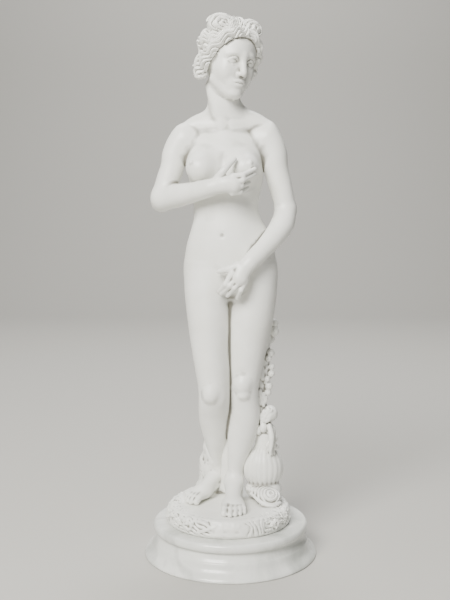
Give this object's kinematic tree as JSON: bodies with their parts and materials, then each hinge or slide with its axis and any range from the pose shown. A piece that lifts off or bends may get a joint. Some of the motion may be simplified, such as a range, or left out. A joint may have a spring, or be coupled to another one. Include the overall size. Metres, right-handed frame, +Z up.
{
  "type": "statuette",
  "caption": "Classical marble statuette of a standing nude figure in the traditional modest stance, with a support of vine and shell, on a round turned plinth.",
  "frame": {"origin": "centre of the plinth's underside", "axes": "+Z up along the axis of the turned plinth; the figure's front faces -Y and its left arm is on the +X side"},
  "size_m": [0.1238, 0.124, 0.3794],
  "materials": {
    "turned_marble": "polished",
    "cast_marble": "satin"
  },
  "bodies": {
    "root": {"plinth": "turned_marble", "statue": "cast_marble"}
  },
  "joints": []
}
